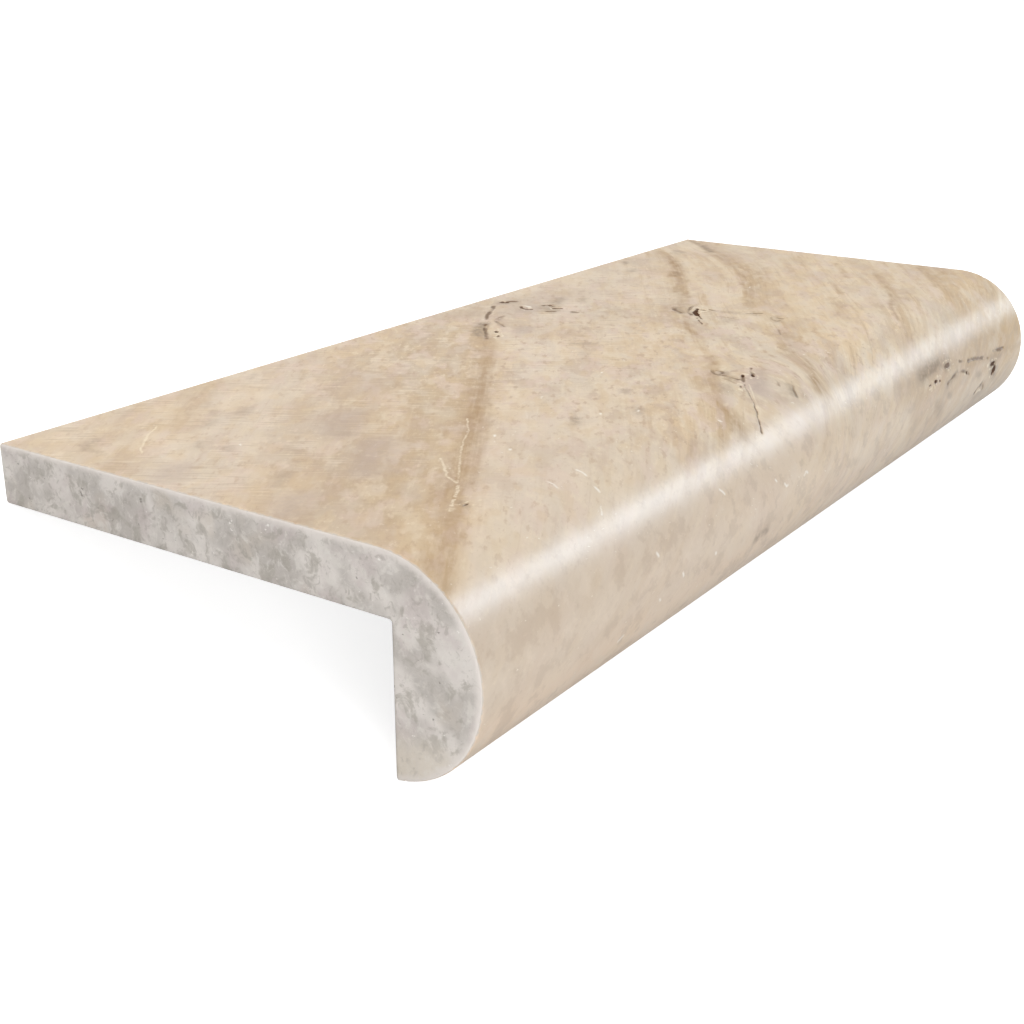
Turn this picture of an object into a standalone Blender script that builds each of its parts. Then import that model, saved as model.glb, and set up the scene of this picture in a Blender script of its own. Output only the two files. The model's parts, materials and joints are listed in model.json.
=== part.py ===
"""A pool coping stone, sawn and ground from one block of travertine.

The section is an L: a flat slab that beds on the pool wall, and a deep drop along its front that
hangs over the wall, rounded over its whole height into one half-round nose. The space behind the
drop is open underneath. The stone has no other pieces.

Metres, +Z up. The length runs along X and the nose looks towards -Y. With nothing under its slab
the stone can't stay level, because its weight is behind the drop. It tips back until it lies on
the lower edge of its back and on the inner corner of its drop, and that is the pose it is given.
The origin is at the middle of the bottom of its box.
"""
import math

import bpy

# Driving dimensions
LENGTH = 0.675
WIDTH = 0.280              # from the back to the front of the nose
SLAB_THICKNESS = 0.030
NOSE_RADIUS = 0.051        # the drop is two of these high
DROP_WALL = 0.044          # from the drop's inner face to the front of the nose
LONG_EDGE_RADIUS = 0.0016  # eased edges along the back and under the drop
REBATE_FILLET = 0.0012     # left by the blade where the slab meets the drop
END_ARRIS = 0.0012         # eased edges round both sawn ends

# How finely the round edges are divided
NOSE_STEPS = 56
EDGE_STEPS = 4

# What follows from the driving dimensions. The section is drawn level: s runs from the back to
# the nose, and h runs up from the top face.
DROP_HEIGHT = 2 * NOSE_RADIUS
INNER_FACE = WIDTH - DROP_WALL
NOSE_CENTRE = (WIDTH - NOSE_RADIUS, -NOSE_RADIUS)

# Travertine, honed: a warm pale tan
STONE_COLOUR = (0.70, 0.60, 0.49, 1.0)
STONE_ROUGHNESS = 0.45

PART_NAME = "coping_stone"
WELD_DISTANCE = 0.00005


def arc(centre, radius, start, end, steps):
    """Points on an arc of the section, from one angle to another, both in radians."""
    angles = [start + (end - start) * i / steps for i in range(steps + 1)]
    return [(centre[0] + radius * math.cos(a), centre[1] + radius * math.sin(a)) for a in angles]


def without_doubles(points):
    """Where the nose runs straight into the round under it, both have a point at the same place."""
    return [p for p, before in zip(points, points[-1:] + points) if math.dist(p, before) > WELD_DISTANCE]


def drop_corner():
    """Centre of the round on the drop's inner corner, and the angle at which the nose ends.

    The round touches the drop's inner face and the nose's circle. A drop that is thicker than the
    nose's radius has a flat bottom, and the round then touches that.
    """
    centre_s = INNER_FACE + LONG_EDGE_RADIUS
    reach = max(centre_s - NOSE_CENTRE[0], 0.0)
    fall = math.sqrt((NOSE_RADIUS - LONG_EDGE_RADIUS) ** 2 - reach ** 2)
    return (centre_s, NOSE_CENTRE[1] - fall), math.atan2(-fall, reach)


def section():
    """The outline of the stone's end, as (s, h) points that run once round it."""
    half_turn = math.pi
    quarter = math.pi / 2
    back_top = (LONG_EDGE_RADIUS, -LONG_EDGE_RADIUS)
    back_bottom = (LONG_EDGE_RADIUS, -SLAB_THICKNESS + LONG_EDGE_RADIUS)
    rebate = (INNER_FACE - REBATE_FILLET, -SLAB_THICKNESS - REBATE_FILLET)
    corner, nose_end = drop_corner()
    points = arc(back_top, LONG_EDGE_RADIUS, half_turn, quarter, EDGE_STEPS)
    points += arc(NOSE_CENTRE, NOSE_RADIUS, quarter, nose_end, NOSE_STEPS)
    points += arc(corner, LONG_EDGE_RADIUS, nose_end, -half_turn, EDGE_STEPS)
    points += arc(rebate, REBATE_FILLET, 0.0, quarter, EDGE_STEPS)
    points += arc(back_bottom, LONG_EDGE_RADIUS, -quarter, -half_turn, EDGE_STEPS)
    return without_doubles(points), back_bottom, corner


def resting_pose(points, back_bottom, corner):
    """Turn about X, and move along Y and Z, that set the stone down on its two lower edges.

    Both edges have the same radius, so the floor is parallel to the line between their centres.
    """
    turn = -math.atan2(back_bottom[1] - corner[1], corner[0] - back_bottom[0])
    across = [-s * math.cos(turn) - h * math.sin(turn) for s, h in points]
    up = [-s * math.sin(turn) + h * math.cos(turn) for s, h in points]
    return turn, -(min(across) + max(across)) / 2, -min(up)


def stone_material():
    material = bpy.data.materials.new("honed_travertine")
    material.use_nodes = True
    surface = material.node_tree.nodes["Principled BSDF"]
    surface.inputs["Base Color"].default_value = STONE_COLOUR
    surface.inputs["Roughness"].default_value = STONE_ROUGHNESS
    surface.inputs["Metallic"].default_value = 0.0
    return material


def stone_bar(points):
    """The section as a filled 2D curve, as long as the stone, with both of its ends eased."""
    curve = bpy.data.curves.new(PART_NAME, "CURVE")
    curve.dimensions = "2D"
    curve.fill_mode = "BOTH"
    curve.extrude = LENGTH / 2
    spline = curve.splines.new("POLY")
    spline.points.add(len(points) - 1)
    for point, (s, h) in zip(spline.points, points):
        point.co = (s, h, 0.0, 1.0)
    spline.use_cyclic_u = True
    stone = bpy.data.objects.new(PART_NAME, curve)

    weld = stone.modifiers.new("Join the ends to the sides", "WELD")
    weld.merge_threshold = WELD_DISTANCE
    flatten = stone.modifiers.new("One face on each end", "DECIMATE")
    flatten.decimate_type = "DISSOLVE"
    flatten.angle_limit = math.radians(0.5)
    ease = stone.modifiers.new("Eased ends", "BEVEL")
    ease.width = END_ARRIS
    ease.segments = 2
    ease.limit_method = "ANGLE"
    ease.angle_limit = math.radians(60)
    return stone


def build():
    for old in list(bpy.data.objects):
        bpy.data.objects.remove(old, do_unlink=True)
    collection = bpy.data.collections.new("pool_coping_stone")
    bpy.context.scene.collection.children.link(collection)

    points, back_bottom, corner = section()
    turn, move_y, move_z = resting_pose(points, back_bottom, corner)

    pose = bpy.data.objects.new("resting_pose", None)
    pose.rotation_euler = (turn, 0.0, 0.0)
    pose.location = (0.0, move_y, move_z)
    collection.objects.link(pose)

    stone = stone_bar(points)
    stone.rotation_euler = (math.pi / 2, 0.0, -math.pi / 2)
    stone.parent = pose
    stone.data.materials.append(stone_material())
    collection.objects.link(stone)


build()
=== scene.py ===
"""A pool coping stone of honed travertine, photographed from above its sawn end."""
import json
import math

import bmesh
import bpy
import numpy as np
from mathutils import Euler, Matrix, Vector, noise


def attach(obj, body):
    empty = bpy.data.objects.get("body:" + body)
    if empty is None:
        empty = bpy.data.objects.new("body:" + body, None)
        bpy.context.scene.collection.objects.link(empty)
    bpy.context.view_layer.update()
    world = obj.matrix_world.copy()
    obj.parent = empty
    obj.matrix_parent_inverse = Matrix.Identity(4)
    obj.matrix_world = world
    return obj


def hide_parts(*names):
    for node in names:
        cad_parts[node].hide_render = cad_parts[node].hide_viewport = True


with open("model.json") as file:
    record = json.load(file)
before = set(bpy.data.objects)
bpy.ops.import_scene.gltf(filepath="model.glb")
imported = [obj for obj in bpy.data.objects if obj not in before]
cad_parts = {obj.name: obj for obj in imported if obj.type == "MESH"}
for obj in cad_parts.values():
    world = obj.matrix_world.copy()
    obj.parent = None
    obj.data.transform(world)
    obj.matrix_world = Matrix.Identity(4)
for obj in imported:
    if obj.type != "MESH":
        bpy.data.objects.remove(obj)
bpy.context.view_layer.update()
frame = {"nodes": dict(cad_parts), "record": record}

STONE = "coping_stone"
MM = 0.001

# The stone's own level frame: x along the length from the middle, y from the nose to the back,
# z up from the top face. It is read from the faces that the record's mounts name.
MOUNTS = {mount["name"]: mount for mount in frame["record"]["mounts"]}
UP = Vector(MOUNTS["top_face"]["axis"]).normalized()
BACK = Vector(MOUNTS["back_face"]["axis"]).normalized()
TOP_LEVEL = UP.dot(Vector(MOUNTS["top_face"]["pos_m"]))
BACK_LEVEL = BACK.dot(Vector(MOUNTS["back_face"]["pos_m"]))
BACK_EDGE = UP * TOP_LEVEL + BACK * BACK_LEVEL
LEVEL = Matrix.Translation(BACK_EDGE) @ Matrix(((1, 0, 0), BACK, UP)).transposed().to_4x4()

# Sizes in millimetres, measured in the level frame
LENGTH = (MOUNTS["right_end"]["pos_m"][0] - MOUNTS["left_end"]["pos_m"][0]) / MM
SLAB = (TOP_LEVEL - UP.dot(Vector(MOUNTS["bedding_face"]["pos_m"]))) / MM
WIDTH = -min((LEVEL.inverted() @ v.co).y for v in frame["nodes"][STONE].data.vertices) / MM
NOSE_RADIUS = 51.0
NOSE_START = WIDTH - NOSE_RADIUS

# The veins cross the top at this angle to the length
VEIN_ANGLE = math.radians(33)

# Camera, in the level frame
EYE = Vector((-0.7387, -0.5724, 0.2086))
EYE_TURN = 55.21
EYE_PITCH = 20.34
FOCAL_PIXELS = 1464.2
FRAME_PIXELS = 1024
SENSOR_MM = 36.0

# Two strips light the pale line along the nose. They stand this far from it, in metres.
BRIGHT_LINE = Vector((0, -(NOSE_START + 39) * MM, -18 * MM))
STRIP_DISTANCE = 1.0
STRIP_TINT = (0.86, 1.0, 1.15)

# How bright the surround is for the stone, and the floor for the camera
SURROUND_LIGHT = 0.22
FLOOR_GLOW = 0.80


def srgb(red, green, blue):
    """A colour as seen on a screen, from 0 to 255, made linear for a shader."""
    linear = []
    for channel in (red, green, blue):
        c = channel / 255
        linear.append(c / 12.92 if c <= 0.04045 else ((c + 0.055) / 1.055) ** 2.4)
    return (*linear, 1.0)


class Value:
    """An output socket of a material, so that shader maths is written as Python expressions."""

    def __init__(self, tree, socket):
        self.tree = tree
        self.socket = socket

    def maths(self, operation, *inputs):
        return self.tree.node("ShaderNodeMath", {"operation": operation}, dict(enumerate(inputs)))

    def __add__(self, other):
        return self.maths("ADD", self, other)

    __radd__ = __add__

    def __sub__(self, other):
        return self.maths("SUBTRACT", self, other)

    def __rsub__(self, other):
        return self.maths("SUBTRACT", other, self)

    def __mul__(self, other):
        return self.maths("MULTIPLY", self, other)

    __rmul__ = __mul__

    def __truediv__(self, other):
        return self.maths("DIVIDE", self, other)

    def above(self, low, high):
        """0 where the value is under low, 1 where it is over high, and a smooth step between."""
        return self.tree.node(
            "ShaderNodeMapRange",
            {"interpolation_type": "SMOOTHSTEP"},
            {"Value": self, "From Min": low, "From Max": high},
        )

    def below(self, low, high):
        return 1 - self.above(low, high)


class Tree:
    """One material's nodes, with a single way to add any of them."""

    def __init__(self, name, sheen=0.0):
        self.material = bpy.data.materials.new(name)
        self.material.use_nodes = True
        self.nodes = self.material.node_tree.nodes
        self.links = self.material.node_tree.links
        self.surface = self.nodes["Principled BSDF"]
        self.sheen = sheen

    def set_input(self, socket, value):
        if isinstance(value, Value):
            self.links.new(value.socket, socket)
        else:
            socket.default_value = value

    def node(self, kind, settings=None, inputs=None, output=0):
        """Adds a node, makes its settings first and then its inputs, and returns one output."""
        node = self.nodes.new(kind)
        for name, setting in (settings or {}).items():
            if name == "stops":
                fill_ramp(node.color_ramp, setting)
            else:
                setattr(node, name, setting)
        for name, value in (inputs or {}).items():
            self.set_input(node.inputs[name], value)
        return Value(self, node.outputs[output])

    def finish(self, name, value):
        self.set_input(self.surface.inputs[name], value)

    def attribute(self, name, output):
        return self.node("ShaderNodeAttribute", {"attribute_name": name}, output=output)

    def mark(self, name):
        """How strongly one kind of mark shows, from 0 to 1."""
        return self.attribute(name, "Fac")

    def part(self, vector, axis):
        """One axis of a vector."""
        return self.node("ShaderNodeSeparateXYZ", {}, {"Vector": vector}, output=axis)

    def shifted(self, vector, by):
        return self.node("ShaderNodeVectorMath", {"operation": "ADD"}, {0: vector, 1: by})

    def cloud(self, vector, size, detail=3.0, rough=0.5, distortion=0.0):
        """Smooth noise from 0 to 1 in lumps of the given size in millimetres."""
        size = size if isinstance(size, tuple) else (size, size, size)
        inputs = {"Scale": 1.0, "Detail": detail, "Roughness": rough, "Distortion": distortion}
        shrink = {"operation": "DIVIDE"}
        inputs["Vector"] = self.node("ShaderNodeVectorMath", shrink, {0: vector, 1: size})
        return self.node("ShaderNodeTexNoise", {}, inputs)

    def bump(self, height, strength, distance):
        inputs = {"Strength": strength, "Distance": distance, "Height": height}
        return self.node("ShaderNodeBump", {}, inputs)

    def mix(self, share, first, second):
        """Two colours, with the share of the second."""
        return self.node(
            "ShaderNodeMix", {"data_type": "RGBA"}, {0: share, 6: first, 7: second}, output=2
        )

    def tint(self, share, under, colour):
        """What lies under, tinted with a colour as it is seen through the sheen."""
        return self.mix(share, under, under_sheen(colour, self.sheen))


def fill_ramp(ramp, stops):
    while len(ramp.elements) < len(stops):
        ramp.elements.new(1.0)
    for element, (place, colour) in zip(ramp.elements, stops):
        element.position = place
        element.color = colour


def under_sheen(colour, sheen):
    """The stone's own colour below the little white that its sheen adds to what is seen."""
    return (*(max(c - sheen, 0.01) / (1 - sheen) for c in srgb(*colour)[:3]), 1.0)


# What shows on the honed face is placed by millimetres along the stone from its near end, and
# across it from its back edge, over the top and on round the nose.

# Cracks and seams: half width, depth, darkness, points
CRACKS = (
    # the open crack at mid length
    (2.0, 2.0, 1.0, ((428, 142), (432, 138.5), (437, 135), (440, 134))),
    (1.2, 1.4, 0.95, ((440, 134), (444, 132.6), (446, 132))),
    (0.7, 0.8, 0.80, ((428, 142), (424, 145.8), (420.3, 149))),
    (0.7, 0.6, 0.72, ((423, 143.5), (418, 147), (413.2, 151), (408, 156))),
    (0.9, 0.5, 0.50, ((453, 125.7), (446, 127), (438, 130), (430, 135), (426.5, 138))),
    (1.1, 0.5, 0.52, ((439.5, 117), (433.4, 122.2), (428, 129.7))),
    (0.8, 0.5, 0.45, ((447.3, 140.7), (446.7, 146))),
    (0.6, 0.2, 0.22, ((446.7, 146), (445.8, 152), (447.5, 158.5), (450, 164.5))),
    (1.0, 0.4, 0.58, ((451, 165.5), (453, 168.5), (456, 173))),
    (0.7, 0.3, 0.42, ((449, 183), (443, 187), (441.5, 191), (444.5, 191.5))),
    (0.6, 0.3, 0.40, ((450, 187), (449.5, 190.5), (454, 192))),
    (0.8, 0.2, 0.30, ((434, 152), (433, 160), (431, 169))),
    # the seam that runs on to the nose
    (0.6, 0.8, 0.75, ((266, 270), (271, 265), (276, 260), (281, 255))),
    (0.4, 0.6, 0.72, ((281, 255), (286, 250), (294, 242), (300, 238))),
    (0.5, 0.5, 0.55, ((300, 238), (304, 235.5), (308, 233))),
    (0.5, 0.7, 0.5, ((315, 236), (321, 232), (327, 229))),
    (0.7, 0.4, 0.40, ((311, 213), (307, 215.5), (303.5, 218), (303, 222), (304, 225))),
    (0.7, 0.4, 0.42, ((311, 216), (310.5, 219.5), (307, 221.5), (304, 221))),
    (0.8, 0.4, 0.52, ((304, 224), (302.5, 229), (301.5, 234))),
    (0.6, 0.3, 0.40, ((298, 226), (296.5, 231), (294, 236))),
    (0.7, 0.4, 0.45, ((331, 252), (328.5, 255.5), (326, 257), (321, 262))),
    (0.6, 0.3, 0.34, ((325, 243), (321, 249), (318, 251))),
    # seams near the back edge
    (1.0, 0.7, 0.62, ((299, 67), (308.5, 60.1), (318.3, 52.3), (328.5, 45.6))),
    (1.0, 0.6, 0.62, ((340.5, 37), (351.6, 30.4), (363.7, 24.5), (375.6, 18.2))),
    (0.8, 0.4, 0.42, ((355.4, 41), (350, 41), (343, 42.8), (338.5, 46.5), (336, 50.5), (331, 57.6))),
    (1.6, 1.6, 0.95, ((391, 13.5), (388.5, 16), (390, 18.5))),
    (1.0, 0.8, 0.66, ((391, 18), (394, 19.5), (396, 22))),
    (1.3, 0.9, 0.82, ((384.6, 33.5), (381.5, 36.5), (380.4, 40.5), (381.9, 44))),
    (1.4, 0.9, 0.78, ((395.6, 43.9), (399.5, 46), (398, 50.5))),
    (1.5, 0.9, 0.80, ((392.8, 54.5), (395.4, 58.5))),
    (1.0, 0.6, 0.60, ((382.4, 56), (384.8, 60))),
    (1.0, 0.6, 0.62, ((390.4, 70), (391.2, 74.5))),
    (0.5, 0.5, 0.35, ((409, 209), (415, 205), (422, 201))),
    # seams under the nose's bright line
    (0.8, 0.5, 0.5, ((517, 302), (526, 300), (535, 298.7), (547, 300), (559, 304.5))),
    (0.9, 0.6, 0.65, ((558, 295.7), (566, 295.8), (576, 297.5), (588, 299.8), (598, 302))),
    (0.7, 0.5, 0.5, ((542, 292.6), (551, 294))),
    (0.9, 0.6, 0.55, ((610, 299), (621, 300.6), (632, 301.6))),
    (1.0, 0.6, 0.65, ((581, 323.5), (586, 320.3), (592, 319.3), (597, 321.5), (600, 325))),
)

# Pits: along, across, length, width, depth, turn from the veins in degrees
PITS = (
    (308.5, 69, 5, 2, 1.2, 0),
    (317.7, 61.6, 6, 2.2, 1.2, 0),
    (444.7, 137, 5, 2.2, 1.2, -30),
    (438.4, 142, 2.6, 1.2, 0.5, -30),
    (309.5, 232.5, 4, 2, 1.4, 0),
    (315, 236, 4.5, 2.2, 1.5, 0),
    (303, 236, 2, 1.4, 0.7, 0),
    (292.5, 240, 2.4, 1.4, 0.8, 0),
    (485.5, 296, 4, 1.8, 1.2, 33),
    (496.5, 296.2, 6, 2.6, 1.4, 33),
    (503.3, 297.2, 3, 1.8, 1.0, 33),
    (520.5, 290.6, 10, 3.2, 0.5, 33),
    (554.5, 303, 4, 2.2, 0.7, 33),
    (610.5, 308.6, 12, 3.2, 1.6, 36),
    (613.5, 314, 9, 6, 1.3, 10),
    (57, 230.5, 3.4, 1.0, 0.6, 40),
)

# Soft stains of each tint: half width, strength, points
STAINS = {
    "brown": (
        (6.5, 0.70, ((152, 165), (180, 147), (214, 125))),
        (6.0, 0.65, ((214, 125), (240, 108), (257, 98))),
        (5.0, 0.50, ((257, 99), (280, 83), (300, 69))),
        (6.5, 0.60, ((60, 220), (90, 203), (118, 188), (152, 166))),
        (6.0, 0.45, ((2, 259), (30, 241), (60, 222))),
        (9.0, 0.28, ((66, 48), (100, 28), (132, 6))),
        (2.6, 0.80, ((381, 165), (392, 154), (404, 147))),
        (4.0, 0.35, ((403, 148), (440, 124), (473, 105), (489, 93))),
        (4.0, 0.60, ((478, 106), (489, 97), (501, 88), (516, 82))),
        (2.2, 0.80, ((484, 95), (492, 90), (498, 87))),
        (4.5, 0.70, ((516, 82), (527, 75), (537, 68))),
        (6.0, 0.90, ((534, 68), (541, 64), (549, 61))),
        (5.0, 0.75, ((549, 61), (558, 56), (566, 51))),
        (4.5, 0.95, ((564, 52), (573, 45), (581, 38))),
        (3.6, 0.75, ((581, 38), (589, 32), (597, 26))),
        (3.0, 0.50, ((597, 26), (605, 17), (613, 9))),
        (7.0, 0.60, ((250, 266), (256, 250))),
        (5.0, 0.40, ((256, 250), (264, 240), (290, 222), (335, 200))),
        (3.0, 0.60, ((322, 208), (332, 203), (338, 199))),
        (4.0, 0.80, ((347, 265), (353, 257))),
        (3.6, 0.45, ((353, 257), (358, 243), (367, 230))),
        (7.0, 0.28, ((380, 231), (398, 216), (420, 202))),
        (1.8, 0.55, ((532, 121.6), (545, 117), (556, 112), (571, 99), (588, 87), (598, 80))),
        (3.0, 0.45, ((590, 86), (605, 73), (622, 55))),
        (1.8, 0.60, ((504, 248), (520, 236), (539, 228), (556, 222))),
        (1.8, 0.55, ((556, 222), (572, 214), (590, 203), (606, 193), (626, 181))),
        (1.8, 0.50, ((604, 236), (621, 227), (637, 218), (663, 201))),
        (2.0, 0.40, ((545, 190), (560, 180), (572, 174))),
        (2.4, 0.35, ((600, 170), (622, 158), (645, 144))),
        (6.0, 0.30, ((484, 215), (500, 207), (516, 200))),
        (7.0, 0.40, ((655, 225), (672, 214))),
        (1.6, 0.50, ((165, 40), (172, 34), (181, 27))),
        (3.0, 0.35, ((558, 298), (600, 302), (640, 304), (675, 307))),
        (1.6, 0.60, ((103, 21), (108, 18.5))),
        (17.0, 0.22, ((340, 20), (376, 30), (410, 28), (440, 36))),
        (24.0, 0.18, ((330, 80), (375, 95), (420, 110))),
    ),
    "grey": (
        (3.0, 0.35, ((536, 67), (541, 65), (546, 63))),
        (2.4, 0.65, ((181, 206), (185, 203.5), (189, 201))),
        (2.8, 0.75, ((240, 321.5), (246, 320.5), (252, 321))),
        (4.2, 0.95, ((304, 58), (312, 51), (322, 46), (330, 43))),
        (6.5, 0.60, ((386, 56), (392, 52), (398, 48))),
        (4.4, 0.60, ((404, 48), (411, 44.5), (419, 42))),
        (3.4, 0.40, ((421, 58), (429, 55))),
        (2.4, 0.60, ((389, 73), (391, 71))),
        (4.5, 0.80, ((387, 18), (393, 20))),
        (2.4, 0.50, ((331, 57), (338, 48), (352, 40))),
        (3.4, 0.60, ((298, 233), (303, 227), (308, 221))),
        (4.0, 0.35, ((279, 239), (286, 234))),
        (2.2, 0.65, ((321, 259), (326, 254))),
        (5.0, 0.35, ((424, 167), (432, 162))),
        (3.0, 0.70, ((428, 130), (434, 124), (440, 119))),
        (4.0, 0.35, ((447, 150), (449, 163))),
        (3.4, 0.45, ((450, 172), (457, 168))),
        (3.0, 0.35, ((440, 192), (453, 185))),
        (3.0, 0.45, ((17, 42), (22, 36), (29, 33))),
        (2.4, 0.30, ((17, 54), (18, 42))),
        (4.0, 0.35, ((90, 50), (95, 46))),
        (4.5, 0.35, ((76, 59), (83, 55))),
        (4.5, 0.35, ((102, 59), (108, 56))),
        (2.4, 0.35, ((49, 82), (54, 77))),
        (3.0, 0.40, ((54, 96), (57, 94))),
        (3.2, 0.45, ((214, 222), (220, 219))),
        (3.0, 0.55, ((243, 197.5), (248, 194.5))),
        (3.6, 0.40, ((319, 118), (325, 126))),
        (3.0, 0.30, ((152, 15), (158, 11))),
        (3.0, 0.70, ((553, 14), (559, 10))),
        (4.0, 0.40, ((530, 33), (540, 28))),
        (4.0, 0.40, ((618, 26), (622, 20))),
        (8.0, 0.30, ((556, 22), (572, 14))),
        (3.0, 0.40, ((611, 26), (620, 20))),
        (3.0, 0.85, ((634, 44), (643, 36), (654, 26))),
        (2.4, 0.50, ((654, 26), (668, 8))),
        (5.0, 0.90, ((476, 288), (490, 286.5), (508, 286))),
        (1.8, 0.90, ((473, 289.6), (479, 288.8), (488, 289), (500, 289))),
        (5.0, 0.50, ((472, 286), (500, 285), (524, 288))),
        (3.4, 0.75, ((516, 290.6), (524, 290.8))),
        (5.0, 0.40, ((498, 311), (506, 317))),
        (2.4, 0.55, ((519, 310), (525, 312))),
        (2.6, 0.55, ((575, 309), (584, 311))),
        (6.0, 0.90, ((607, 309), (613, 313), (618, 317))),
        (2.6, 0.50, ((516, 303), (526, 301), (536, 299))),
        (5.0, 0.30, ((580, 327), (602, 328))),
        (3.0, 0.40, ((612, 303), (626, 306))),
        (3.0, 0.30, ((30, 150), (44, 142))),
        (2.0, 0.55, ((56, 232), (59, 226))),
    ),
    "mauve": (
        (17.0, 0.28, ((352, 26), (382, 34), (410, 32), (440, 44))),
        (6.0, 0.60, ((326, 74), (336, 70))),
        (9.0, 0.70, ((376, 44), (386, 40))),
        (7.0, 0.85, ((298, 247), (310, 241))),
        (6.0, 0.70, ((312, 240), (324, 236))),
        (13.0, 0.62, ((103, 121), (115, 112), (128, 103))),
        (12.0, 0.62, ((66, 168), (84, 157), (104, 148))),
        (14.0, 0.40, ((170, 80), (192, 64))),
        (9.0, 0.55, ((12, 101), (22, 96))),
        (10.0, 0.60, ((8, 176), (22, 167))),
    ),
}

# Brown beds that end sharply along a line: reach, side (1 towards the nose and -1 towards the
# back), strength, points
EDGES = (
    (17.0, -1, 0.50, ((-8, 273), (6, 264), (61, 227), (96, 209), (115, 198), (162, 169))),
    (17.0, -1, 0.50, ((162, 169), (207, 136), (240, 111), (268, 93), (300, 70))),
    (26.0, 1, 0.46, ((480, 149), (533, 122), (549, 119.5), (573, 106), (600, 80))),
    (26.0, 1, 0.46, ((600, 80), (637, 42), (660, 14), (676, -4))),
    (15.0, 1, 0.38, ((490, 258), (506, 247), (533, 231), (568, 218), (594, 199), (626, 181))),
    (17.0, 1, 0.42, ((600, 241), (607, 236), (629, 223), (663, 202), (676, 194))),
    (14.0, -1, 0.50, ((478, 110), (501, 93), (525, 82), (537, 74), (546, 69), (560, 61))),
    (14.0, -1, 0.50, ((560, 61), (572, 53), (581, 45), (597, 31), (613, 15))),
    (20.0, 1, 0.50, ((345, 268), (353, 257), (358, 243), (367, 230), (380, 221), (400, 211))),
)

# White flecks and crescents: half width, strength, points
CHALK = (
    (0.9, 0.9, ((128, 203.5), (129.5, 202.5))),
    (0.9, 0.8, ((141.5, 185.5), (143.5, 184))),
    (0.6, 0.7, ((133, 192.5), (135, 190))),
    (0.7, 0.8, ((125.7, 241.8), (126.2, 244.5), (125.6, 247))),
    (0.6, 0.7, ((103.8, 240.2), (104.6, 243.5), (103.8, 246.3))),
    (0.7, 0.8, ((122.2, 254.5), (121.5, 257.5))),
    (0.6, 0.7, ((114, 264), (111.5, 267.5))),
    (0.5, 0.5, ((175, 181), (186, 173))),
    (0.5, 0.5, ((186, 180), (194, 175))),
    (1.0, 0.8, ((217, 220), (218.5, 219.5))),
    (0.9, 0.7, ((525, 131), (530, 129))),
    (0.7, 0.8, ((62.5, 96), (64, 93))),
    (0.9, 0.9, ((202, 207.5), (203.5, 206.5))),
    (0.6, 0.7, ((209, 167), (213, 165))),
    (0.8, 0.8, ((270.5, 166), (272.5, 165))),
    (0.6, 0.6, ((300, 163), (303, 161))),
    (0.8, 0.8, ((243, 253.5), (244, 254.5))),
    (1.1, 0.8, ((136.5, 295), (137.5, 296.5))),
    (0.6, 0.8, ((204, 284), (207, 287.5))),
    (1.1, 0.8, ((159, 312.5), (160, 314))),
    (1.0, 0.8, ((191.5, 313), (192.5, 313.5))),
    (1.0, 0.7, ((139, 318), (140, 319.5))),
    (1.5, 0.7, ((107, 328), (110, 326.5))),
    (0.9, 0.8, ((259.5, 295), (260.5, 296.5))),
    (0.9, 0.8, ((269, 300), (271, 301.5), (273, 301.5))),
    (0.9, 0.7, ((293, 302), (295, 300.5), (298, 301.5))),
    (0.9, 0.9, ((387.5, 36), (387, 39))),
)

# Pale calcite lines: half width, strength, points
CALCITE = (
    (0.9, 0.85, ((76, 212), (70, 217), (58.8, 222.8), (47.2, 229.4))),
    (0.8, 0.75, ((100.4, 184.1), (92.3, 192.5), (82.1, 201.9), (76, 212))),
    (0.7, 0.65, ((113, 186.4), (100.8, 194.8), (89.5, 203), (76, 212))),
    (3.4, 0.45, ((93, 193.6), (89, 199), (84, 205))),
    (0.6, 0.7, ((112, 187), (118, 183), (128, 177), (140, 171), (158, 157))),
    (0.5, 0.4, ((175, 142), (200, 130), (225, 114), (258, 97))),
    (0.6, 0.8, ((27, 68), (33, 61), (43, 52.5), (52, 46), (61, 41))),
    (0.5, 0.5, ((112, 12), (122, 6), (131, 1))),
    (0.5, 0.6, ((115, 36), (120, 33))),
    (0.5, 0.6, ((193, 31), (198, 27))),
    (0.5, 0.6, ((243, 168), (262, 168), (278, 164), (289, 163))),
    (0.6, 0.5, ((340, 42), (358, 30), (372, 22))),
    (0.5, 0.6, ((383, 12), (396, 4))),
    (1.6, 1.0, ((387.5, 35), (387.5, 38), (384, 41.5))),
    (0.8, 0.6, ((376, 42), (379, 38))),
    (0.7, 0.7, ((303, 71), (313, 66), (322, 60))),
    (0.8, 0.8, ((389, 55), (393, 51))),
    (0.6, 0.7, ((282, 257), (290, 249), (300, 241))),
    (0.5, 0.6, ((330, 232), (340, 224))),
    (0.7, 0.7, ((446, 136), (456, 130))),
    (1.6, 0.8, ((586, 324.5), (591, 323.5), (595, 325))),
    (0.9, 0.5, ((497, 293), (506, 294))),
)


# Cracks at least this dark are open, and the rest are closed seams
OPEN_CRACK = 0.7

# Stains with a smaller half width need a finer mesh
NARROW_STAIN = 6

# How far stains fade, and how far the walls of cracks reach, in half widths
STAIN_REACH = 1.7
CRACK_REACH = 1.6

# Millimetres past their half width over which closed seams and pale lines fade
SEAM_SOFTNESS = 0.9
LINE_SOFTNESS = 0.7

# The third vein bends: its true place across the veins, at places along them. The beds in its
# core bend with it, and those beyond bend less, up to its reach.
BENT_VEIN = 391
BENT_VEIN_RUN = (120, 143, 168, 182, 250, 331, 388, 446, 478, 496, 515, 538, 560)
BENT_VEIN_BED = (424, 413, 397, 391, 389, 388, 393, 393, 389, 386, 377, 371, 371)
BENT_VEIN_CORE = 12
BENT_VEIN_REACH = 50

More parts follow.
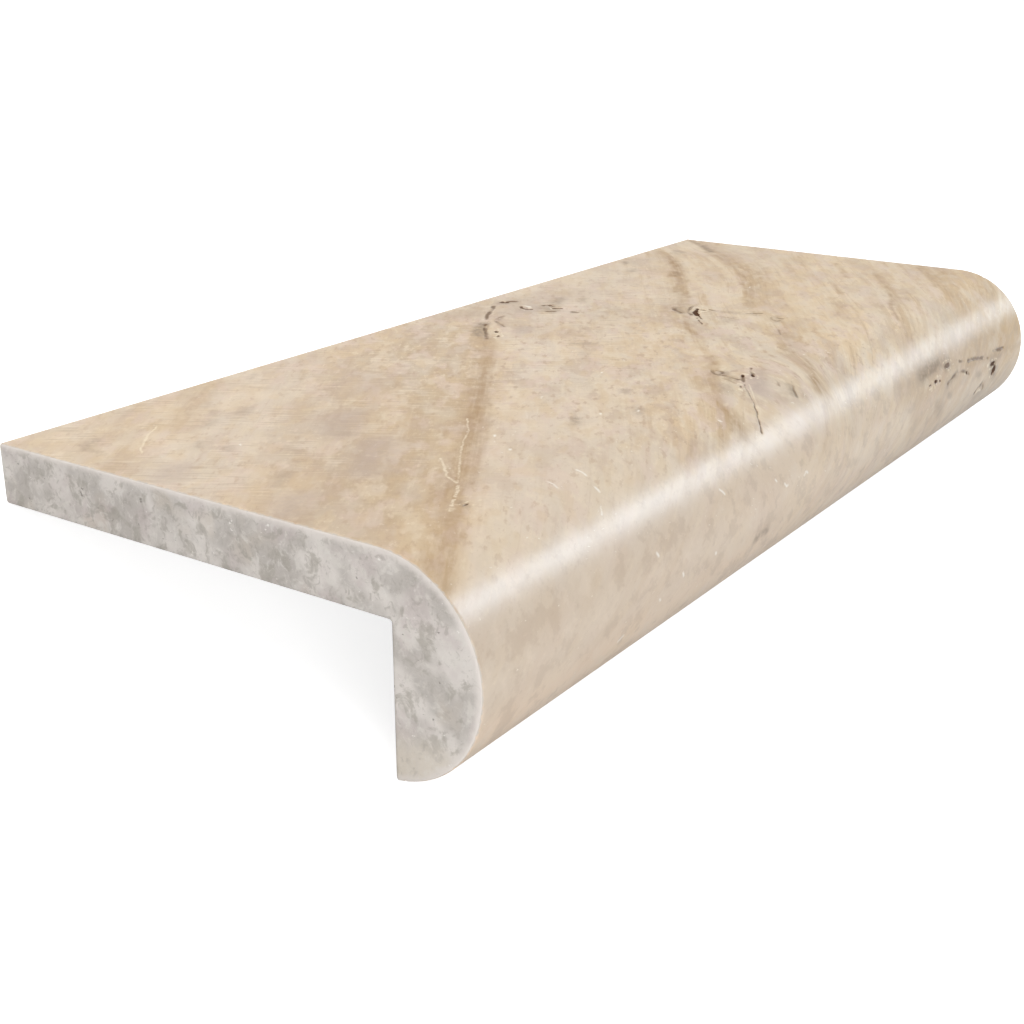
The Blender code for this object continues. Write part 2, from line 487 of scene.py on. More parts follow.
# Noise in layers: strength, size of the lumps in millimetres, seed
HONING_WAVE = ((0.03, 45.0, 1.0), (0.015, 14.0, 2.0))
HOLLOW_NOISE = ((0.25, 1.6, 3.0), (0.35, 4.0, 7.0))
CHIP_NOISE = ((0.9, 5.0, 11.0), (0.7, 1.7, 13.0))
LARGE_CHIP_NOISE = ((1.0, 17.0, 17.0),)
STAIN_NOISE = ((0.30, 3.5, 21.0), (0.40, 9.0, 23.0))
HOLE_NOISE = ((0.5, 2.2, 27.0),)
SEAM_NOISE = ((1.1, 8.0, 33.0),)
HALO_NOISE = ((1.3, 3.0, 51.0),)

# How far lines waver, and how far the edges of beds are torn: noise along the stone and across
WAVER = (((0.7, 5.0, 41.0),), ((0.7, 5.0, 43.0),))
TEAR = (((2.4, 9.0, 61.0), (1.2, 3.6, 65.0)), ((2.4, 9.0, 63.0), (1.2, 3.6, 67.0)))

# Millimetres under the honed face: of a point that still belongs to it, and of the middle of a
# face that lies in it. The honed face starts a little way from the back edge.
HONED_DEPTH = 1.3
FLUSH_DEPTH = 0.5
BACK_MARGIN = 0.5

# Millimetres: the mean depth of the honing's wave, how far from either end it starts, and the
# depth and reach of chips on a rim. Large ones are where their noise is over the onset.
WAVE_DEPTH = 0.05
WAVE_START = 1.3
CHIP_DEPTH = 0.75
LARGE_CHIP_DEPTH = 1.6
LARGE_CHIP_ONSET = 0.25
RIM_REACH = 6

# Shares of a pit's half length: its flat floor, and its wall
PIT_FLOOR = 0.35
PIT_WALL = 0.9

# Millimetres: how soft the dark of a hollow's edge is, how far its shade reaches, and where the
# pale halo round it lies and how wide it is
HOLE_SOFTNESS = 3
SHADE_REACH = 5
HALO_PLACE = 1.7
HALO_WIDTH = 1.3

# The stone is cut across its long edges, in millimetres: axis and least length of the edges,
# lowest and highest place of their middles, cuts
LOWEST, HIGHEST = -200, 200
DIVISIONS = (
    (0, 500, LOWEST, HIGHEST, 219),
    (1, 100, -SLAB / 2, HIGHEST, 75),
    (1, 100, LOWEST, -SLAB / 2, 30),
    (2, 40, LOWEST, HIGHEST, 11),
    (2, 20, LOWEST, HIGHEST, 5),
)

# The stone's two finishes, as material slots
HONED, SAWN = 0, 1


def line_distance(along, across, points):
    """Distance in millimetres from each place to a line through the points."""
    nearest = np.full(along.shape, np.inf)
    for (x0, y0), (x1, y1) in zip(points, points[1:]):
        dx, dy = x1 - x0, y1 - y0
        share = np.clip(((along - x0) * dx + (across - y0) * dy) / (dx * dx + dy * dy), 0, 1)
        nearest = np.minimum(nearest, np.hypot(along - x0 - share * dx, across - y0 - share * dy))
    return nearest


def beside(along, across, points, side):
    """Distance from a line through the points, and 1 on one side of it, falling to 0 over it."""
    softness = 2.2
    nearest, offset = np.full(along.shape, np.inf), np.zeros(along.shape)
    for start, end in zip(points, points[1:]):
        far = line_distance(along, across, (start, end))
        dx, dy = end[0] - start[0], end[1] - start[1]
        turned = (dx * (across - start[1]) - dy * (along - start[0])) / math.hypot(dx, dy)
        offset = np.where(far < nearest, turned, offset)
        nearest = np.minimum(nearest, far)
    return nearest, np.clip(0.5 + side * offset / softness, 0, 1)


def wander(along, across, layers):
    """Noise at each place, added up from its layers."""
    total = np.zeros(along.shape)
    for strength, size, seed in layers:
        places = zip((along / size).tolist(), (across / size).tolist())
        total += strength * np.array([noise.noise((x, y, seed)) for x, y in places])
    return total


def wavering(along, across, noises):
    """The places moved a little to and fro, so that lines drawn with them aren't straight."""
    return along + wander(along, across, noises[0]), across + wander(along, across, noises[1])


def oval(along, across, x, y, length, width, turn):
    """Distance from an oval's centre as a share of its reach, its length lying along the veins."""
    angle = VEIN_ANGLE - math.radians(turn)
    dx, dy = along - x, across - y
    run = dx * math.cos(angle) - dy * math.sin(angle)
    rise = dx * math.sin(angle) + dy * math.cos(angle)
    return np.hypot(run / (length / 2), rise / (width / 2))


def fade(distance, reach):
    """1 at no distance, falling smoothly to 0 at the reach."""
    share = np.clip(1 - distance / reach, 0, 1)
    return share * share * (3 - 2 * share)


class Places:
    """Where points of the level stone lie on it, in millimetres."""

    def __init__(self, points):
        points = np.array(points) / MM
        self.x, self.from_back, self.height = points[:, 0], -points[:, 1], points[:, 2]
        past = np.maximum(self.from_back - NOSE_START, 0)
        rise = self.height + NOSE_RADIUS
        self.under_honed = NOSE_RADIUS - np.hypot(past, rise)
        self.along = self.x + LENGTH / 2
        round_nose = NOSE_START + NOSE_RADIUS * np.arctan2(past, rise)
        self.across = np.where(self.from_back > NOSE_START, round_nose, self.from_back)
        self.from_end = LENGTH / 2 - np.abs(self.x)
        self.end = np.sign(self.x)
        self.honed = self.within(HONED_DEPTH)
        outward = np.stack([np.zeros_like(past), -past, rise], 1)
        self.outward = outward / np.linalg.norm(outward, axis=1)[:, None]

    def within(self, depth):
        """Which points lie less than this deep under the honed face."""
        return (self.under_honed < depth) & (self.from_back > BACK_MARGIN)

    def runs(self):
        """Places along and across the veins, with the third vein's bend taken out."""
        run = self.along * math.cos(VEIN_ANGLE) - self.across * math.sin(VEIN_ANGLE)
        bed = self.along * math.sin(VEIN_ANGLE) + self.across * math.cos(VEIN_ANGLE)
        bend = BENT_VEIN - np.interp(run, BENT_VEIN_RUN, BENT_VEIN_BED)
        past_core = np.abs(bed + bend - BENT_VEIN) - BENT_VEIN_CORE
        return run, bed + bend * (1 - np.clip(past_core / BENT_VEIN_REACH, 0, 1))


def edges_along(bm, axis, least, lowest, highest):
    """Edges along one axis that are longer than the least and have their middle between heights."""
    straight = 0.98
    found = []
    for edge in bm.edges:
        start, end = (vertex.co / MM for vertex in edge.verts)
        span = end - start
        if abs(span[axis]) > max(least, straight * span.length):
            if lowest < (start.z + end.z) / 2 < highest:
                found.append(edge)
    return found


def cut_ends(bm, spacing, offset):
    """Cuts both sawn ends into a grid, so that the chips of their rims have points to move."""
    for side in (-1, 1):
        ends = [f for f in bm.faces if f.normal.x * side > 0.999]
        for axis, reach in ((1, WIDTH), (2, 2 * NOSE_RADIUS)):
            for step in range(1, int(reach / spacing)):
                plane, normal = Vector((0, 0, 0)), Vector((0, 0, 0))
                plane[axis] = -(step * spacing + offset) * MM
                normal[axis] = 1
                geometry = dict.fromkeys(part for f in ends for part in (*f.verts, *f.edges, f))
                cut = bmesh.ops.bisect_plane(
                    bm, geom=list(geometry), plane_co=plane, plane_no=normal, dist=1e-6
                )
                faces = [part for part in cut["geom"] if isinstance(part, bmesh.types.BMFace)]
                ends = [f for f in dict.fromkeys([*ends, *faces]) if f.is_valid]


def refine(bm, chosen, cuts):
    """Subdivides the honed faces whose middles are chosen."""
    faces = list(bm.faces)
    middles = Places([f.calc_center_median() for f in faces])
    picked = chosen(middles) & middles.within(FLUSH_DEPTH)
    edges = dict.fromkeys(edge for i in np.flatnonzero(picked) for edge in faces[i].edges)
    bmesh.ops.subdivide_edges(bm, edges=list(edges), cuts=cuts, use_grid_fill=True)


def near_ends(reach):
    """A test for places within reach of either end, but not past it."""
    return lambda places: (places.from_end < reach) & (places.from_end > 0)


def near_lines(lines, reach):
    """A test for places within reach of some lines, each given by a half width and its points."""
    def near(places):
        found = np.zeros(places.x.shape, bool)
        for half_width, points in lines:
            found |= line_distance(places.along, places.across, points) < half_width + reach
        return found
    return near


def near_marks(reach):
    """A test for places within reach of a pit, a crack, or a line of calcite or chalk."""
    lines = [(mark[0], mark[-1]) for mark in CRACKS + CALCITE + CHALK]
    near_line = near_lines(lines, reach)

    def near(places):
        found = near_line(places)
        for x, y, length, width, _, _ in PITS:
            far = np.hypot(places.along - x, places.across - y)
            found |= far < max(length, width) / 2 + reach
        return found
    return near


def stone_mesh():
    """The stone in its level frame, divided finely enough for its relief."""
    bm = bmesh.new()
    bm.from_mesh(frame["nodes"][STONE].data)
    bm.transform(LEVEL.inverted())
    bmesh.ops.remove_doubles(bm, verts=bm.verts, dist=0.00001)
    flat = math.radians(0.2)
    bmesh.ops.dissolve_limit(bm, angle_limit=flat, verts=bm.verts, edges=bm.edges)
    for axis, least, lowest, highest, cuts in DIVISIONS:
        edges = edges_along(bm, axis, least, lowest, highest)
        bmesh.ops.subdivide_edges(bm, edges=edges, cuts=cuts, use_grid_fill=True)
    cut_ends(bm, spacing=2.4, offset=0.37)
    stains = [(half, points) for rows in STAINS.values() for half, _, points in rows]
    narrow = [(half, points) for half, points in stains if half < NARROW_STAIN]
    refine(bm, near_ends(reach=4.0), cuts=2)
    refine(bm, near_lines(narrow, reach=1.0), cuts=1)
    refine(bm, near_lines([(0, points) for *_, points in EDGES], reach=3.5), cuts=1)
    refine(bm, near_marks(reach=1.6), cuts=1)
    refine(bm, near_marks(reach=0.7), cuts=1)
    bm.normal_update()
    return bm


def relief(bm, places):
    """Moves the points of the mesh: pits, cracks, chipped rims, and a faint wave in the honing."""
    depth = np.zeros(len(bm.verts))
    honed = places.honed
    along, across = places.along[honed], places.across[honed]
    ragged = wander(along, across, HOLLOW_NOISE)
    dug = np.zeros(along.shape)
    for x, y, length, width, pit_depth, turn in PITS:
        reach = oval(along, across, x, y, length, width, turn) + ragged
        dug = np.maximum(dug, pit_depth * fade(np.maximum(reach - PIT_FLOOR, 0), PIT_WALL))
    bent = wavering(along, across, WAVER)
    for half_width, crack_depth, _, points in CRACKS:
        line = line_distance(*bent, points) * (1 + 0.8 * ragged)
        uneven = crack_depth * (0.75 + 0.5 * ragged)
        dug = np.maximum(dug, uneven * fade(line, half_width * CRACK_REACH))
    wave = WAVE_DEPTH + wander(along, across, HONING_WAVE)
    depth[honed] = np.maximum(dug, wave * (places.from_end[honed] > WAVE_START))
    moved = -depth[:, None] * places.outward

    near_rim = np.maximum(places.from_end, places.under_honed) < RIM_REACH
    near_rim &= places.from_back > 1
    end = places.end[near_rim]
    # each end takes its noise from a place of its own
    run, side = places.across[near_rim], end * 40
    chip = CHIP_DEPTH + wander(run, side, CHIP_NOISE)
    large = wander(run, side, LARGE_CHIP_NOISE) - LARGE_CHIP_ONSET
    chip += LARGE_CHIP_DEPTH * np.maximum(large, 0)
    corner = places.from_end[near_rim] + places.under_honed[near_rim]
    push = np.maximum(chip - corner, 0) / 2
    moved[near_rim, 0] -= push * end
    moved[near_rim] -= push[:, None] * places.outward[near_rim]

    for vertex, offset in zip(bm.verts, moved * MM):
        vertex.co += Vector(offset)


def marks(places):
    """At each point of the mesh: how strongly each mark shows, and how far the rim is."""
    honed = places.honed
    along, across = places.along[honed], places.across[honed]
    names = ("grey", "brown", "mauve", "hole", "deep", "seam", "pale", "chalk")
    found = {name: np.zeros(along.shape) for name in names}

    def add(name, shown):
        found[name] = np.maximum(found[name], shown)

    def add_hollow(far, darkness):
        add("hole", np.clip(0.5 - far / HOLE_SOFTNESS, 0, 1))
        add("deep", darkness * fade(far, SHADE_REACH))

    soft = wander(along, across, STAIN_NOISE)
    for tint, rows in STAINS.items():
        for half_width, strength, points in rows:
            far = line_distance(along, across, points) / half_width * (1 + 0.6 * soft)
            add(tint, strength * fade(far, STAIN_REACH))
    torn = wavering(along, across, TEAR)
    for reach, side, strength, points in EDGES:
        far, sided = beside(*torn, points, side)
        add("brown", strength * sided * fade(far * (1 + 0.5 * soft), reach))

    ragged = wander(along, across, HOLE_NOISE)
    halo_strength = 0.5 + wander(along, across, HALO_NOISE)
    for x, y, length, width, pit_depth, turn in PITS:
        far = (oval(along, across, x, y, length, width, turn) - 1) * width / 2 + ragged
        add_hollow(far, min(1, 0.45 + 0.4 * pit_depth))
        halo = np.clip(1 - np.abs(far - HALO_PLACE) / HALO_WIDTH, 0, 1)
        add("pale", halo * halo_strength)

    bent = wavering(along, across, WAVER)
    broken = np.clip(0.85 + wander(along, across, SEAM_NOISE), 0.3, 1.15)
    for half_width, _, darkness, points in CRACKS:
        line = line_distance(*bent, points)
        if darkness < OPEN_CRACK:
            shown = np.clip(1.3 - line / (half_width + SEAM_SOFTNESS), 0, 1)
            add("seam", shown * darkness * broken)
        else:
            add_hollow(line - half_width * (0.9 + 0.8 * ragged), darkness)
    for name, lines in (("pale", CALCITE), ("chalk", CHALK)):
        for half_width, strength, points in lines:
            line = line_distance(*bent, points)
            add(name, strength * np.clip(1 - line / (half_width + LINE_SOFTNESS), 0, 1))

    everywhere = {name: np.zeros(honed.shape) for name in names}
    for name in names:
        everywhere[name][honed] = found[name]
    everywhere["rim"] = np.maximum(places.from_end, places.under_honed)
    return everywhere


def add_layer(mesh, name, kind, values):
    layer = mesh.attributes.new(name, kind, "POINT")
    field = "vector" if kind == "FLOAT_VECTOR" else "value"
    layer.data.foreach_set(field, values.astype(np.float32).ravel())


def make_stone():
    """The stone with its relief, and where each of its points lies, for its materials to read."""
    bm = stone_mesh()
    places = Places([v.co for v in bm.verts])
    on_honed = Places([f.calc_center_median() for f in bm.faces]).within(FLUSH_DEPTH)
    for face, honed in zip(bm.faces, on_honed):
        face.material_index = HONED if honed and abs(face.normal.x) < 0.6 else SAWN
        face.smooth = True
    relief(bm, places)
    bm.transform(LEVEL)
    mesh = bpy.data.meshes.new("stone")
    bm.to_mesh(mesh)
    bm.free()
    flat = np.zeros_like(places.along)
    vectors = {
        "laid_out": (places.along, places.across, flat),
        "veins": (*places.runs(), flat),
        "level": (places.x, places.from_back, places.height),
    }
    for name, parts in vectors.items():
        add_layer(mesh, name, "FLOAT_VECTOR", np.stack(parts, 1))
    for name, strength in marks(places).items():
        add_layer(mesh, name, "FLOAT", strength)
    mesh.set_sharp_from_angle(angle=math.radians(50))
    stone = bpy.data.objects.new("stone", mesh)
    bpy.context.scene.collection.objects.link(stone)
    return stone


# The beds, crossed from the near back corner to the far front one: place in millimetres
# across the veins, and colour
BEDS = (
    (0, (213, 198, 178)),
    (48, (213, 193, 169)),
    (66, (209, 187, 159)),
    (84, (219, 203, 184)),
    (118, (216, 199, 180)),
    (134, (206, 185, 162)),
    (165, (198, 176, 151)),
    (200, (202, 179, 151)),
    (221, (205, 181, 153)),
    (226, (221, 202, 180)),
    (245, (223, 206, 187)),
    (290, (221, 203, 181)),
    (325, (222, 202, 178)),
    (341, (214, 192, 164)),
    (350, (211, 188, 159)),
    (355, (222, 201, 174)),
    (388, (225, 204, 177)),
    (392, (212, 187, 155)),
    (420, (222, 198, 167)),
    (455, (228, 205, 175)),
    (484, (227, 205, 176)),
    (489, (213, 188, 158)),
    (505, (222, 201, 173)),
    (523, (217, 196, 171)),
    (530, (208, 182, 150)),
    (560, (205, 177, 142)),
    (600, (202, 175, 141)),
)
BED_REACH = 640

# The nose's tones along the stone
NOSE_TONES = (
    (0, (210, 194, 176)),
    (150, (213, 195, 176)),
    (300, (221, 202, 181)),
    (430, (221, 201, 178)),
    (465, (204, 180, 154)),
    (580, (205, 180, 152)),
    (620, (200, 170, 133)),
    (675, (210, 182, 147)),
)

PIT_SHADE = (78, 50, 28)
GREY_STAIN = (156, 138, 121)
BROWN_STAIN = (176, 147, 116)
SEAM_TONE = (112, 90, 72)
CALCITE_TONE = (241, 226, 201)
CHALK_TONE = (249, 242, 232)
MAUVE_STAIN = (191, 173, 160)
CHIPPED_RIM = (199, 192, 184)
SAWN_RIM = (219, 211, 204)

# The white that the sheen adds: to the marks of the honed face, to its beds and to its nose
HONED_SHEEN = 0.06
BED_SHEEN = 0.065
NOSE_SHEEN = 0.055


def tone_ramp(tree, place, tones, reach, sheen):
    """Colours that change with the place, from 0 to the reach."""
    stops = [(at / reach, under_sheen(tone, sheen)) for at, tone in tones]
    return tree.node("ShaderNodeValToRGB", {"stops": stops}, {"Fac": place / reach})


def honed_travertine():
    """The top and the nose: warm beds with streaks, mottling, stains, seams and pale flecks."""
    tree = Tree("honed_travertine", HONED_SHEEN)
    tint = tree.tint
    laid = tree.attribute("laid_out", "Vector")
    veins = tree.attribute("veins", "Vector")
    bed = tree.part(veins, "Y")
    along = tree.part(laid, "X")
    across = tree.part(laid, "Y")
    streaky = bed.above(255, 360)

    def lumps(length, width, shift, detail=4.0, rough=0.6):
        """Noise in lumps that are longer along the veins, at a place of its own."""
        moved = tree.shifted(veins, (shift, -shift, shift / 3))
        return tree.cloud(moved, (length, width, width), detail=detail, rough=rough)

    slow = tree.cloud(veins, (150, 50, 50), detail=1.0)
    quick = lumps(24, 9, 0)
    warped = bed + (slow - 0.5) * 10 + (quick - 0.5) * 16
    colour = tone_ramp(tree, warped, BEDS, BED_REACH, BED_SHEEN)
    patch = lumps(38, 19, 400)
    nose = tone_ramp(tree, along + (patch - 0.5) * 80, NOSE_TONES, LENGTH, NOSE_SHEEN)
    colour = tree.mix((across + (patch - 0.5) * 16).above(262, 279), colour, nose)

    on_nose = across.above(255, 285)
    # paler under the front of the nose, but not at the far end: painted light, standing in for light
    # that falls short there
    colour = tint(across.above(312, 332) * along.below(520, 660) * 0.60, colour, (239, 214, 189))

    # the mottling is fainter on the nose, and stronger at mid length
    calm = 1 - on_nose * (0.75 - along.above(250, 420) * 0.30)
    lively = 1 + along.above(150, 230) * along.below(400, 480) * 0.45

    ribbon = lumps(170, 15, 1500, detail=2.0)
    colour = tint(ribbon.above(0.52, 0.60) * streaky * 0.40 * calm, colour, (212, 187, 158))
    colour = tint(ribbon.below(0.40, 0.48) * streaky * 0.34 * calm, colour, (228, 210, 187))
    streak = lumps(90, 6.5, 50, detail=3.0)
    dark, light = 0.16 + streaky * 0.44, 0.16 + streaky * 0.40
    colour = tint(streak.above(0.52, 0.64) * dark * calm, colour, (198, 171, 140))
    colour = tint(streak.below(0.36, 0.48) * light * calm, colour, (230, 212, 186))
    thread = lumps(75, 2.3, 1200, detail=2.0)
    threaded = 0.14 + streaky * 0.20
    colour = tint(thread.above(0.60, 0.67) * threaded * calm, colour, (186, 158, 130))
    colour = tint(thread.below(0.33, 0.40) * threaded * calm, colour, (236, 219, 194))
    broad = lumps(110, 48, 300, detail=2.0)
    colour = tint(broad.above(0.51, 0.60) * 0.40 * calm * lively, colour, (221, 197, 166))
    colour = tint(broad.below(0.40, 0.49) * 0.40 * calm * lively, colour, (214, 199, 181))
    colour = tint(patch.above(0.52, 0.60) * 0.42 * calm * lively, colour, (201, 179, 159))
    colour = tint(patch.below(0.40, 0.48) * 0.42 * calm * lively, colour, (230, 212, 189))
    blush = lumps(30, 15, 500, detail=3.0)
    colour = tint(blush.above(0.53, 0.60) * 0.40 * calm * lively, colour, (219, 197, 181))
    colour = tint(blush.below(0.39, 0.47) * 0.22 * calm, colour, (216, 199, 171))
    sand = lumps(16, 9, 650, detail=2.0, rough=0.4)
    colour = tint(sand.above(0.54, 0.64) * 0.30 * calm * lively, colour, (214, 190, 158))
    colour = tint(sand.below(0.36, 0.46) * 0.30 * calm * lively, colour, (217, 201, 183))
    blot = lumps(9, 4.6, 800, detail=5.0)
    colour = tint(blot.above(0.56, 0.66) * 0.38 * calm * lively, colour, (190, 163, 138))
    colour = tint(blot.below(0.32, 0.44) * 0.34 * calm * lively, colour, (233, 216, 192))
    fine = lumps(3.2, 1.9, 950, detail=3.0)
    colour = tint(fine.above(0.58, 0.68) * 0.12, colour, (176, 150, 125))
    colour = tint(fine.below(0.30, 0.40) * 0.16, colour, (236, 220, 197))

    # fine lines across the veins
    hair = tree.cloud(tree.shifted(veins, (60, 20, 0)), (1.6, 19, 19), detail=2.0)
    hairy = tree.cloud(veins, 30.0, detail=1.0).above(0.38, 0.55)
    lined = bed.below(330, 420) * (0.2 + across.below(120, 210) * 0.8) * hairy * calm
    colour = tint(hair.above(0.56, 0.66) * lined * 0.36, colour, (180, 158, 133))
    colour = tint(hair.below(0.34, 0.44) * lined * 0.36, colour, (235, 220, 199))

    pebble = tree.cloud(tree.shifted(laid, (0, 0, 140)), 13.0, detail=5.0, rough=0.6)
    colour = tint(pebble.above(0.52, 0.62) * on_nose * 0.38, colour, (192, 172, 153))
    colour = tint(pebble.below(0.36, 0.46) * on_nose * 0.35, colour, (223, 207, 189))

    grain = tree.cloud(laid, 3.2, detail=4.0, rough=0.65)
    worn = grain.above(0.36, 0.58)
    brown = 0.52 + blot.above(0.38, 0.60) * 0.36 + thread.above(0.38, 0.56) * 0.20
    mauve = 0.70 + worn * 0.30
    grey = 0.40 + worn * 0.40 + blot.above(0.40, 0.58) * 0.2
    colour = tint(tree.mark("brown") * brown, colour, BROWN_STAIN)
    colour = tint(tree.mark("mauve") * mauve, colour, MAUVE_STAIN)
    colour = tint(tree.mark("grey") * grey, colour, GREY_STAIN)

    patches = tree.cloud(laid, 26.0, detail=1.0).above(0.45, 0.6)
    fleck_place = patches * (0.5 + bed.above(205, 225) * 0.5)
    crumbs = tree.cloud(tree.shifted(laid, (0, 0, 60)), (2.6, 1.9, 1.9), detail=2.0)
    fleck = crumbs.above(0.70, 0.74) * fleck_place
    colour = tint(fleck * 0.6, colour, (240, 231, 217))

    # the marks placed by measure, with a torn edge
    edge = tree.cloud(laid, 1.3, rough=0.7) - 0.5
    pale = (tree.mark("pale") + edge * 0.4).above(0.30, 0.62)
    chalk = (tree.mark("chalk") + edge * 0.4).above(0.22, 0.80)
    seam = (tree.mark("seam") + edge * 0.2).above(0.12, 0.62)
    hole = (tree.mark("hole") + edge * 0.2).above(0.38, 0.62)
    colour = tint(pale * (0.25 + worn * 0.45), colour, CALCITE_TONE)
    colour = tint(chalk * 0.75, colour, CHALK_TONE)
    colour = tint(seam * 0.72, colour, SEAM_TONE)
    colour = tree.mix(hole * tree.mark("deep"), colour, srgb(*PIT_SHADE))

    rim_cloud = tree.cloud(laid, 2.4, rough=0.7)
    rim = tree.attribute("rim", "Fac")
    chipped = (rim + (rim_cloud - 0.5) * 2.6).below(0.2, 1.3)
    colour = tint(chipped * 0.9, colour, CHIPPED_RIM)

    tree.finish("Base Color", colour)
    tree.finish("IOR", 1.6)
    tree.finish("Roughness", 0.32 + (grain - 0.5) * 0.10 + hole * 0.5 + chipped * 0.35)
    height = grain * 0.3 + fine * 0.1 - fleck * 0.6 - seam - hole * 2 + chipped * rim_cloud * 2
    tree.finish("Normal", tree.bump(height, strength=0.25, distance=0.0002))
    return tree.material


def sawn_travertine():
    """The ends, the back and the underside: cool grey, mottled and matt."""
    tree = Tree("sawn_travertine")
    tint = tree.tint
    level = tree.attribute("level", "Vector")
    height = tree.part(level, "Z")

    broad = tree.cloud(level, 24.0, detail=2.0, rough=0.55)
    colour = tint(broad.above(0.39, 0.61), srgb(217, 210, 203), (187, 180, 173))
    blush = tree.cloud(tree.shifted(level, (70, 0, 0)), 20.0, detail=2.0)
    colour = tint(blush.above(0.50, 0.64) * 0.55, colour, (196, 184, 180))
    clay = tree.cloud(tree.shifted(level, (0, 0, 90)), 30.0, detail=2.0)
    colour = tint(clay.above(0.54, 0.66) * 0.45, colour, (199, 187, 172))
    olive = tree.cloud(tree.shifted(level, (0, 210, 0)), 9.0, detail=5.0, rough=0.6, distortion=0.5)
    colour = tint(olive.above(0.52, 0.64) * 0.70, colour, (168, 161, 151))
    colour = tint(olive.below(0.34, 0.46) * 0.70, colour, (214, 208, 200))
    low = height.below(-88, -72) * tree.cloud(level, (60, 7, 60)).above(0.2, 0.55)
    colour = tint(low * 0.8, colour, (211, 201, 187))
    worn = 1 - height.below(-50, -30) * 0.35
    small = tree.cloud(tree.shifted(level, (0, 0, 400)), 4.2, detail=4.0, rough=0.65, distortion=0.8)
    colour = tint(small.above(0.54, 0.66) * 0.46 * worn, colour, (160, 152, 143))
    colour = tint(small.below(0.32, 0.45) * 0.46 * worn, colour, (221, 216, 209))
    grit = tree.cloud(level, 1.6, detail=4.0, rough=0.7)
    colour = tint(grit.above(0.52, 0.70) * 0.14 * worn, colour, (160, 153, 145))
    colour = tint(grit.below(0.30, 0.46) * 0.14 * worn, colour, (226, 221, 214))
    hollow = tree.cloud(tree.shifted(level, (30, 30, 30)), (5.0, 5.0, 3.6), rough=0.6)
    hole = hollow.above(0.69, 0.74)
    colour = tint(hole * 0.65, colour, (128, 121, 112))
    fleck = hollow.below(0.27, 0.31)
    colour = tint(fleck * 0.7, colour, (238, 234, 228))

    rim_cloud = tree.cloud(level, 3.4, rough=0.7)
    dents = tree.cloud(tree.shifted(level, (9, 0, 0)), 9.0, detail=2.0)
    ragged = (rim_cloud - 0.5) * 3.0 + (dents - 0.5) * 4.0
    chipped = (tree.attribute("rim", "Fac") + ragged).below(1.0, 4.6)
    colour = tint(chipped * 0.80, colour, SAWN_RIM)

    tree.finish("Base Color", colour)
    tree.finish("Roughness", 0.72 + (grit - 0.5) * 0.3)
    saw = tree.cloud(level, (70, 70, 0.8), detail=2.0)
    relief_height = grit * 0.28 + small * 0.7 + saw * 0.3 - hole * 2.0
    tree.finish("Normal", tree.bump(relief_height, strength=0.4, distance=0.0004))
    return tree.material


def camera():
    """The photograph's viewpoint, fitted to the stone and turned with it."""
    data = bpy.data.cameras.new("camera")
    data.sensor_width = SENSOR_MM
    data.sensor_fit = "HORIZONTAL"
    data.lens = FOCAL_PIXELS / FRAME_PIXELS * SENSOR_MM
    data.clip_start = 0.01
    eye = bpy.data.objects.new("camera", data)
    turn = Euler((math.radians(90 - EYE_PITCH), 0, math.radians(-EYE_TURN)))
    eye.matrix_world = LEVEL @ (Matrix.Translation(EYE) @ turn.to_matrix().to_4x4())
    bpy.context.scene.collection.objects.link(eye)
    bpy.context.scene.camera = eye


def add_lamp(name, size, power, pose):
    """An area light at a pose in the level frame, out of the camera's sight."""
    data = bpy.data.lights.new(name, "AREA")
    data.shape = "RECTANGLE"
    data.size, data.size_y = size
    data.energy = power
    lamp = bpy.data.objects.new(name, data)
    lamp.matrix_world = LEVEL @ pose
    lamp.visible_camera = False
    bpy.context.scene.collection.objects.link(lamp)
    return lamp


def soft_light(name, place, aim, size, power):
    """A rectangle of light that faces the point it is aimed at."""
    way = (Vector(aim) - Vector(place)).normalized()
    turn = way.to_track_quat("-Z", "Y").to_matrix().to_4x4()
    return add_lamp(name, size, power, Matrix.Translation(place) @ turn)


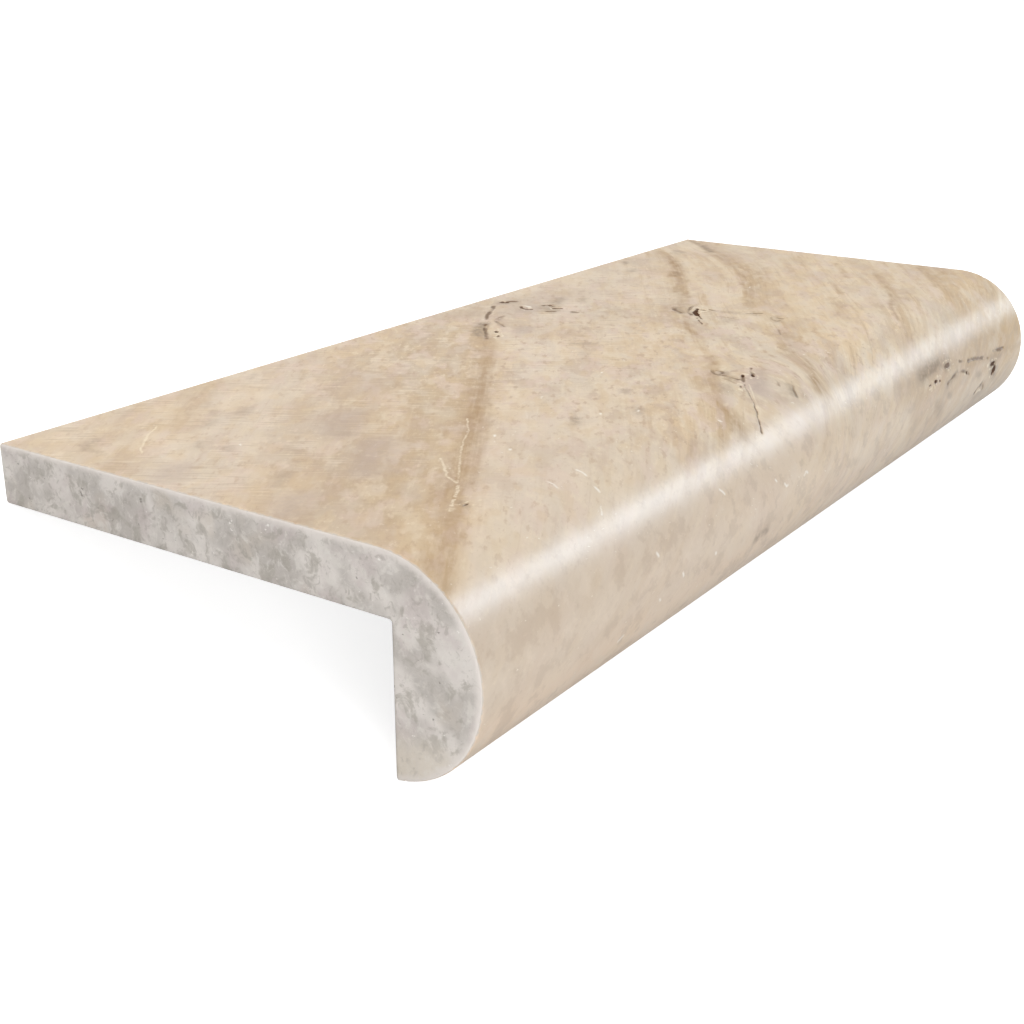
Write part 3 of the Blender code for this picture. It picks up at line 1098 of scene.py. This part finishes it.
def strip_light(start, length, width, angle, power):
    """Part of a long strip beside the stone, which draws the pale line along the nose."""
    angle = math.radians(angle)
    along = Vector((1, 0, 0))
    outward = Vector((0, -math.sin(angle), math.cos(angle)))
    place = BRIGHT_LINE + along * (start + length / 2) + outward * STRIP_DISTANCE
    turn = Matrix((along, outward.cross(along), outward)).transposed().to_4x4()
    lamp = add_lamp("strip", (length, width), power, Matrix.Translation(place) @ turn)
    lamp.data.color = STRIP_TINT


def surround():
    """A world that the camera sees as white and that lights the stone much less."""
    world = bpy.data.worlds.new("studio")
    bpy.context.scene.world = world
    world.use_nodes = True
    nodes, links = world.node_tree.nodes, world.node_tree.links
    path = nodes.new("ShaderNodeLightPath")
    strength = nodes.new("ShaderNodeMix")
    strength.inputs["A"].default_value = SURROUND_LIGHT
    strength.inputs["B"].default_value = 1.0
    links.new(path.outputs["Is Camera Ray"], strength.inputs["Factor"])
    nodes["Background"].inputs["Color"].default_value = (1, 1, 1, 1)
    links.new(strength.outputs["Result"], nodes["Background"].inputs["Strength"])


def pale_floor():
    """A floor under the resting stone, which glows for the camera only."""
    tree = Tree("pale_floor")
    tree.finish("Base Color", (0.5, 0.5, 0.5, 1))
    tree.finish("Roughness", 0.9)
    camera_ray = tree.node("ShaderNodeLightPath", output="Is Camera Ray")
    tree.finish("Emission Color", camera_ray * FLOOR_GLOW)
    tree.finish("Emission Strength", 1.0)
    bm = bmesh.new()
    bmesh.ops.create_grid(bm, x_segments=1, y_segments=1, size=30)
    mesh = bpy.data.meshes.new("floor")
    bm.to_mesh(mesh)
    bm.free()
    mesh.materials.append(tree.material)
    floor = bpy.data.objects.new("floor", mesh)
    bpy.context.scene.collection.objects.link(floor)


def studio():
    """A pale floor, a white surround and soft light."""
    bpy.context.scene.view_settings.view_transform = "Standard"
    surround()
    pale_floor()
    key = soft_light("key", (-0.28, 1.1, 1.6), (0, -0.1, 0), (1.6, 1.6), 49.0)
    # no mirror image of it in the gloss of the top
    key.visible_glossy = False
    soft_light("front", (-1.4, -1.6, 0.15), (0, -0.25, -0.05), (1.2, 1.2), 28.0)
    strip_light(start=0.3, length=1.1, width=0.36, angle=47.4, power=8.4)
    strip_light(start=1.4, length=2.4, width=0.52, angle=51.2, power=10.2)


stone = make_stone()
stone.data.materials.append(honed_travertine())
stone.data.materials.append(sawn_travertine())
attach(stone, "root")
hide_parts(STONE)
camera()
studio()
